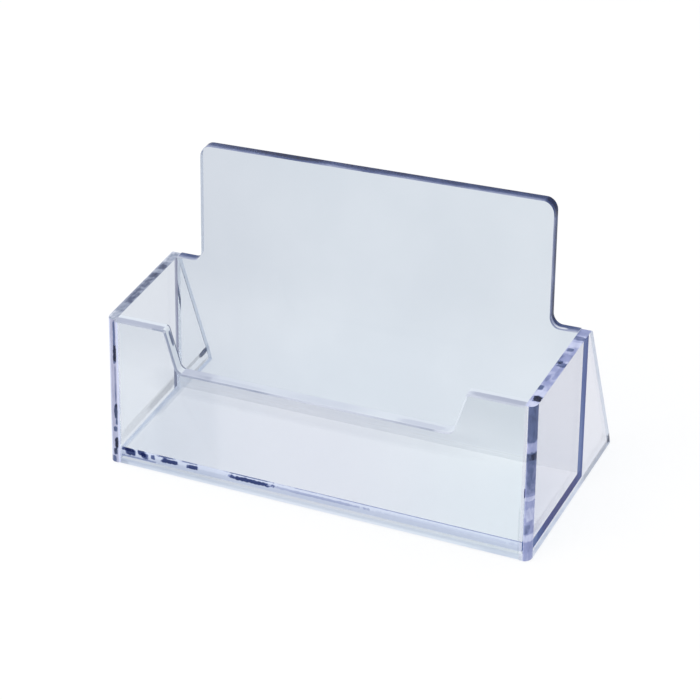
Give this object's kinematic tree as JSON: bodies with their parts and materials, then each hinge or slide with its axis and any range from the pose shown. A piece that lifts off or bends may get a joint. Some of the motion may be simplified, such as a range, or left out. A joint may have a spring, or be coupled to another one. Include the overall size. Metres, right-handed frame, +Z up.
{
  "type": "business card holder",
  "caption": "Clear desk holder for business cards: leaning front wall with a finger notch, tall leaning back plate, raised floor and side walls with rear wings.",
  "frame": {"origin": "on the desk, under the middle of the whole holder", "axes": "+X to the right as seen from the front, +Y from the front wall to the rear feet, +Z up"},
  "size_m": [0.1, 0.0446, 0.0558],
  "materials": {
    "clear_plastic": "clear, glossy, faintly blue"
  },
  "bodies": {
    "root": {"floor": "clear_plastic", "front_wall": "clear_plastic", "back_plate": "clear_plastic", "left_side_wall": "clear_plastic", "right_side_wall": "clear_plastic"}
  },
  "joints": []
}
